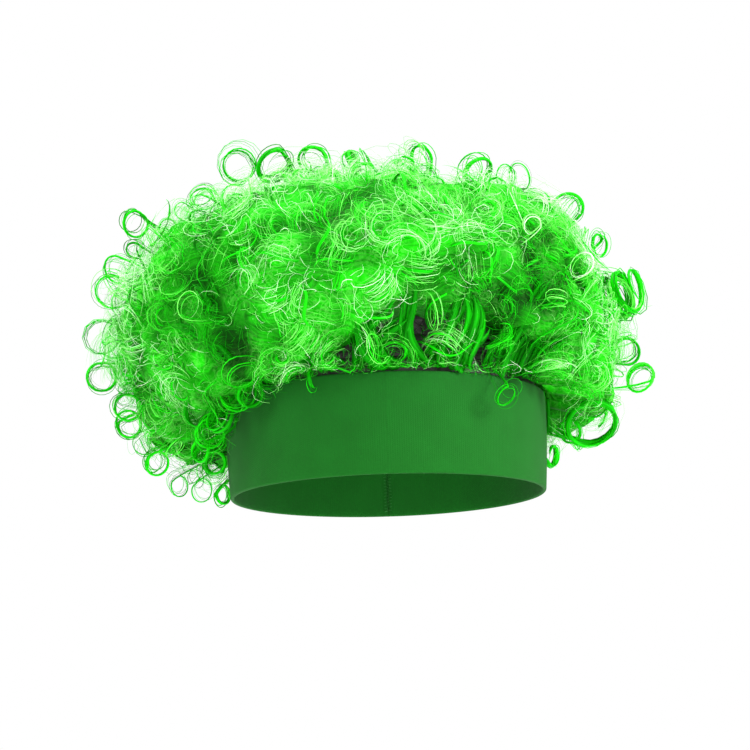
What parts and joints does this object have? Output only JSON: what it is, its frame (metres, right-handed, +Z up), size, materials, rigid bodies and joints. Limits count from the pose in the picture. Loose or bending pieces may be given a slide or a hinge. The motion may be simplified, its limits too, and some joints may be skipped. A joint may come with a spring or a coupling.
{
  "type": "headband wig",
  "caption": "Puffed curly wig on a plain stretch-knit headband: a net cap sewn inside the band carries rows of curled hair that fall over its sides and back, worn pulled on over the head.",
  "frame": {"origin": "middle of the headband's lower rim, where the head goes in", "axes": "+Z up towards the crown, -Y towards the front of the headband, +X to the right as seen from the front"},
  "size_m": [0.2715, 0.2807, 0.1656],
  "materials": {
    "band_knit": "matt green stretch jersey",
    "cap_net": "dark open net",
    "curled_fibre": "bright green glossy curled synthetic fibre"
  },
  "bodies": {
    "root": {"headband": "band_knit", "wig_cap": "cap_net", "crown_weft": "curled_fibre", "upper_weft": "curled_fibre", "middle_weft": "curled_fibre", "lower_weft": "curled_fibre", "hem_weft": "curled_fibre"}
  },
  "joints": []
}
